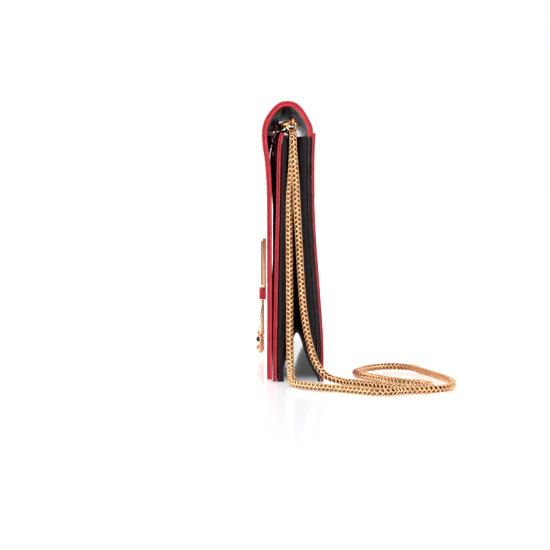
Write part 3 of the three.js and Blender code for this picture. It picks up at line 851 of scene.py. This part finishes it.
def add_gusset(end, lines, base_line, material):
    """A pleated end: its plan at each height, from the base up to the bag's mouth."""
    mirror = 1 if end == "near" else -1
    levels = 46
    steps = 72
    half = 0.6 * MM
    rings = []
    for level in range(levels + 1):
        share = level / levels
        guess = spaced(gusset_plan(GUSSET_TOP * share, *lines), steps)
        ring = []
        for side in (-half, half):
            row = []
            for i, p in enumerate(shifted(guess, side)):
                low = max(base_height(base_line, p.y), 0.6 * MM)
                z = low + (GUSSET_TOP - low) * share
                plan = spaced(gusset_plan(z, *lines), steps)
                q = shifted(plan, side)[i]
                crease = gusset_crease(i / steps, z, 2.0 if end == "near" else 5.0)
                row.append(Vector((mirror * (q.x + crease), q.y, z)))
            ring.append(row)
        rings.append(ring[0] + ring[1][::-1])
    count = len(rings[0])
    vertices = [p for ring in rings for p in ring]
    faces = ring_of_quads(0, levels + 1, count)
    for level in (0, levels):
        for i in range(steps):
            a = level * count + i
            b = level * count + count - 1 - i
            faces.append((a, a + 1, b - 1, b))
    mesh = mesh_from(f"gusset_{end}_leather", vertices, faces)
    face_outwards(mesh)
    thing = new_object(f"gusset_{end}_leather", mesh, [material], 50)
    bevel(thing, 0.3 * MM, 2, 60)
    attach(thing, "root")
    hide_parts(f"gusset_{end}")


# ---- hardware and ornament, from the CAD's own shapes: node, name, look, edge radius, slot, body ----
# Rings and hooks take the darker gold, which is painted shade.
HARDWARE = (
    ("ring_tab", "tab_leather", "red", 0.25 * MM, "red_leather", "root"),
    ("ring_rivet", "tab_rivet", "gold", 0.3 * MM, "gold_metal", "root"),
    ("d_ring", "strap_ring", "gold_painted_shade", 0, "gold_metal", "ring"),
    ("hook_body", "hook_frame", "gold_painted_shade", 0.35 * MM, "gold_metal", "root"),
    ("hook_gate", "hook_lever", "gold_painted_shade", 0.2 * MM, "gold_metal", "gate"),
    ("hook_swivel", "hook_eye", "gold_painted_shade", 0, "gold_metal", "swivel"),
    ("jump_ring", "chain_ring", "gold_painted_shade", 0, "gold_metal", "root"),
)
ORNAMENT = (
    ("ornament_plate", "plate", "gold", 0.4 * MM, "gold_metal", "flap"),
    ("ornament_inlay", "plate_inlay", "enamel", 0.25 * MM, "enamel", "flap"),
    ("keeper", "leather_keeper", "red", 0.3 * MM, "red_leather", "flap"),
    ("ornament_pin", "hinge_pin", "gold", 0.1 * MM, "gold_metal", "flap"),
    ("drop_bar", "hanging_bar", "gold", 0.3 * MM, "gold_metal", "drop"),
    ("drop_inlay", "bar_inlay", "enamel", 0.2 * MM, "enamel", "drop"),
    ("end_block", "end_clasp", "gold", 0.25 * MM, "gold_metal", "drop"),
    ("end_stone", "end_cabochon", "enamel", 0.4 * MM, "enamel", "drop"),
    ("end_roller", "end_barrel", "gold", 0.25 * MM, "gold_metal", "drop"),
    ("end_knob", "end_bead", "gold", 0, "gold_metal", "drop"),
)
INLAYS = ("ornament_inlay", "drop_inlay")
INLAY_SEAT = 0.4 * MM
OVAL_RODS = {"end_stone": 1.4, "end_roller": 1.25}  # how much taller than round each one is


def add_hardware(materials):
    for end in ("near", "far"):
        for node, name, look, radius, slot, body in HARDWARE:
            thing = refined(f"{node}_{end}", f"{name}_{end}", materials[look], radius)
            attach(thing, body if body == "root" else f"{body}_{end}")


def add_ornament(materials):
    for node, name, look, radius, slot, body in ORNAMENT:
        thing = refined(node, name, materials[look], radius)
        if node == "end_knob":
            add_stem(thing)
        if node in OVAL_RODS:
            swell(thing, OVAL_RODS[node])
        if node in INLAYS:
            seat(thing)
        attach(thing, body)


def seat(inlay):
    """Run an inlay's back down into the metal behind it."""
    points = [v.co for v in inlay.data.vertices]
    middle = sum(point.y for point in points) / len(points)
    for point in points:
        if point.y > middle:
            point.y += INLAY_SEAT


def swell(thing, share):
    """Make a rod oval, taller than it is deep, so that it sits down into its seat."""
    points = [v.co for v in thing.data.vertices]
    middle = sum(points, Vector()) / len(points)
    for point in points:
        point.z = middle.z + (point.z - middle.z) * share
        point.y = middle.y + (point.y - middle.y) * 1.1


def add_stem(bead):
    """The bead's neck, down into the clasp under it."""
    low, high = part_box("end_knob")
    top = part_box("end_block")[1].z - 0.6 * MM
    middle = (low + high) / 2
    box = bmesh.new()
    box.from_mesh(bead.data)
    length = middle.z - top
    place = Matrix.Translation((middle.x, middle.y + 0.3 * MM, top + length / 2))
    bmesh.ops.create_cone(box, cap_ends=True, segments=24, radius1=0.75 * MM, radius2=0.6 * MM, depth=length,
                          matrix=place)
    box.to_mesh(bead.data)
    box.free()


def dress_hidden(steel):
    """The magnets and screws stay between the leathers, as the CAD has them."""
    for node in ("flap_magnet", "front_magnet", "plate_screw_upper", "plate_screw_lower"):
        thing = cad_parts[node]
        thing.data.materials.clear()
        thing.data.materials.append(steel)


# ---- stitching ----
STITCH_HALF = 0.9 * MM
STITCH_RADIUS = 0.24 * MM
STITCH_PITCH = 2.7 * MM
STITCH_INSET = 3 * MM  # from the leather's edge
# A stitch's rings of vertices: the place along it and the thickness there, as shares of its half and radius.
STITCH_ROWS = ((-1, 0.25), (-0.75, 0.8), (0, 1), (0.75, 0.8), (1, 0.25))


def stitches(name, places, material, body):
    """Short raised stitches. Each place is (middle, along, outward), and its middle is on the leather."""
    vertices = []
    faces = []
    sides = 6
    for middle, along, outward in places:
        along = (along + outward.cross(along) * 0.12).normalized()
        across = along.cross(outward).normalized()
        base = len(vertices)
        for share, thickness in STITCH_ROWS:
            lift = outward * (0.1 * MM * (1 - share * share) - 0.16 * MM)
            for k in range(sides):
                roll = 2 * math.pi * k / sides
                reach = (across * math.cos(roll) + outward * math.sin(roll)) * (STITCH_RADIUS * thickness)
                vertices.append(middle + along * (STITCH_HALF * share) + lift + reach)
        faces += ring_of_quads(base, len(STITCH_ROWS), sides)
        faces += end_caps(base, len(STITCH_ROWS), sides)
    thing = new_object(name, mesh_from(name, vertices, faces), [material], None)
    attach(thing, body)
    return thing


def along_line(line, x, inset_start, inset_end):
    """Stitch places on the right side of a (y, z) line, at one x."""
    total = line_length(line)
    count = int((total - inset_start - inset_end) / STITCH_PITCH)
    steps = 600
    track = spaced(line, steps)
    normals = left_normals(track)
    places = []
    for k in range(count + 1):
        i = min(int((inset_start + k * STITCH_PITCH) / total * steps), steps - 1)
        p = track[i]
        along = (track[i + 1] - p).normalized()
        middle = Vector((x, p.x, p.y)) + flap_shape(x, p)
        places.append((middle, Vector((0, along.x, along.y)), Vector((0, -normals[i].x, -normals[i].y))))
    return places


def add_stitching(main, material):
    """One line of stitches round the flap's two ends and its hem."""
    places = []
    for x in (-HALF_LENGTH + STITCH_INSET, HALF_LENGTH - STITCH_INSET):
        places += along_line(main, x, 2 * MM, STITCH_INSET)
    hem = Vector((main[-1].x, main[-1].y + STITCH_INSET))
    steps = int((2 * HALF_LENGTH - 2 * STITCH_INSET) / STITCH_PITCH)
    for k in range(steps + 1):
        x = -HALF_LENGTH + STITCH_INSET + k * STITCH_PITCH
        middle = Vector((x, hem.x, hem.y)) + flap_shape(x, hem)
        places.append((middle, Vector((1, 0, 0)), Vector((0, -1, 0))))
    thing = stitches("flap_stitching", places, material, "flap")


# ---- light and floor ----
def add_floor():
    """Pale glossy acrylic with an even glow, which is turned down under the bag's footprint: a painted
    shadow.
    """
    nodes = Nodes("floor")
    split = nodes.add("ShaderNodeSeparateXYZ")
    nodes.link(nodes.place(1), split.inputs["Vector"])
    base_low, base_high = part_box("base_fold")
    middle = (base_low + base_high) / 2
    half = (base_high - base_low) / 2
    fade = 4 * MM
    reach_in = 34 * MM
    # Painted shadow: the glow drops to 0.07 under the bag, and rises back over its last 34 mm to each end and
    # 4 mm past its edges.
    clear = nodes.add("ShaderNodeMath", operation="MAXIMUM")
    nodes.link(band(nodes, split.outputs["X"], middle.x, half.x + fade, half.x - reach_in), clear.inputs[0])
    nodes.link(band(nodes, split.outputs["Y"], middle.y, half.y + fade, half.y), clear.inputs[1])
    nodes.link(nodes.span(clear.outputs["Value"], 0.07, 0.48), nodes.shader.inputs["Emission Strength"])
    nodes.finish((0.58, 0.58, 0.6, 1), 0.09, None, IOR=1.5, Emission_Color=(1, 1, 1, 1))
    reach = 6
    corners = [(-reach, -reach, 0), (reach, -reach, 0), (reach, reach, 0), (-reach, reach, 0)]
    mesh = mesh_from("floor", corners, [(0, 1, 2, 3)])
    floor = new_object("floor", mesh, [nodes.material])
    floor.location.z = -0.0001


def add_light(name, place, size, power):
    """A rectangular soft light that faces the bag's near half."""
    light = bpy.data.lights.new(name, "AREA")
    light.shape = "RECTANGLE"
    light.size, light.size_y = size
    light.energy = power
    thing = bpy.data.objects.new(name, light)
    bpy.context.scene.collection.objects.link(thing)
    thing.location = place
    thing.rotation_euler = (Vector((0.05, 0, 0.08)) - Vector(place)).to_track_quat("-Z", "Y").to_euler()


def add_world():
    """A white sweep as seen. In reflections its far end is brightest, and the unlit end of the room, past the
    bag's near end, is dark."""
    world = bpy.data.worlds.new("studio")
    world.use_nodes = True
    bpy.context.scene.world = world
    tree = world.node_tree
    back = tree.nodes["Background"]
    where = tree.nodes.new("ShaderNodeTexCoord")
    split = tree.nodes.new("ShaderNodeSeparateXYZ")
    tree.links.new(where.outputs["Generated"], split.inputs["Vector"])
    facing = tree.nodes.new("ShaderNodeValToRGB")
    facing.color_ramp.interpolation = "EASE"
    stops = ((0.02, 1.5), (0.1, 0.76), (0.86, 0.76), (0.98, 0.2))
    while len(facing.color_ramp.elements) < len(stops):
        facing.color_ramp.elements.new(0.5)
    for element, (position, grey) in zip(facing.color_ramp.elements, stops):
        element.position = position
        element.color = (grey, grey, grey, 1)
    along = tree.nodes.new("ShaderNodeMapRange")
    along.inputs["From Min"].default_value = -1
    tree.links.new(split.outputs["X"], along.inputs["Value"])
    tree.links.new(along.outputs["Result"], facing.inputs["Fac"])
    rays = tree.nodes.new("ShaderNodeLightPath")
    mix = tree.nodes.new("ShaderNodeMix")
    mix.data_type = "RGBA"
    tree.links.new(rays.outputs["Is Camera Ray"], mix.inputs["Factor"])
    tree.links.new(facing.outputs["Color"], mix.inputs["A"])
    mix.inputs["B"].default_value = (1, 1, 1, 1)
    tree.links.new(mix.outputs["Result"], back.inputs["Color"])
    back.inputs["Strength"].default_value = 1.0


def add_lights():
    add_world()
    add_light("left_softbox", (0.5, -1.1, 0.7), (0.7, 0.9), 5)
    add_light("right_softbox", (0.6, 1.1, 0.6), (0.6, 0.9), 6)
    add_light("top_softbox", (0.1, 0.0, 1.3), (1.2, 0.8), 4.5)
    add_light("low_left_fill", (1.0, -0.6, 0.1), (0.3, 0.2), 1.8)
    add_light("near_left_strip", (1.1, -0.9, 0.55), (0.12, 0.8), 3.6)
    add_light("near_right_strip", (1.2, 0.8, 0.7), (0.12, 0.6), 2.8)
    bpy.context.scene.view_settings.view_transform = "Standard"


add_camera()
looks = make_materials()
add_chain(looks["chain_gold"])
flap_line = add_flap(looks)
wall_lines = add_walls(looks)
base_line = add_base(looks["black"])
for end in ("near", "far"):
    add_gusset(end, wall_lines, base_line, looks["black"])
add_hardware(looks)
add_ornament(looks)
dress_hidden(looks["steel"])
add_stitching(flap_line, looks["thread"])
add_floor()
add_lights()
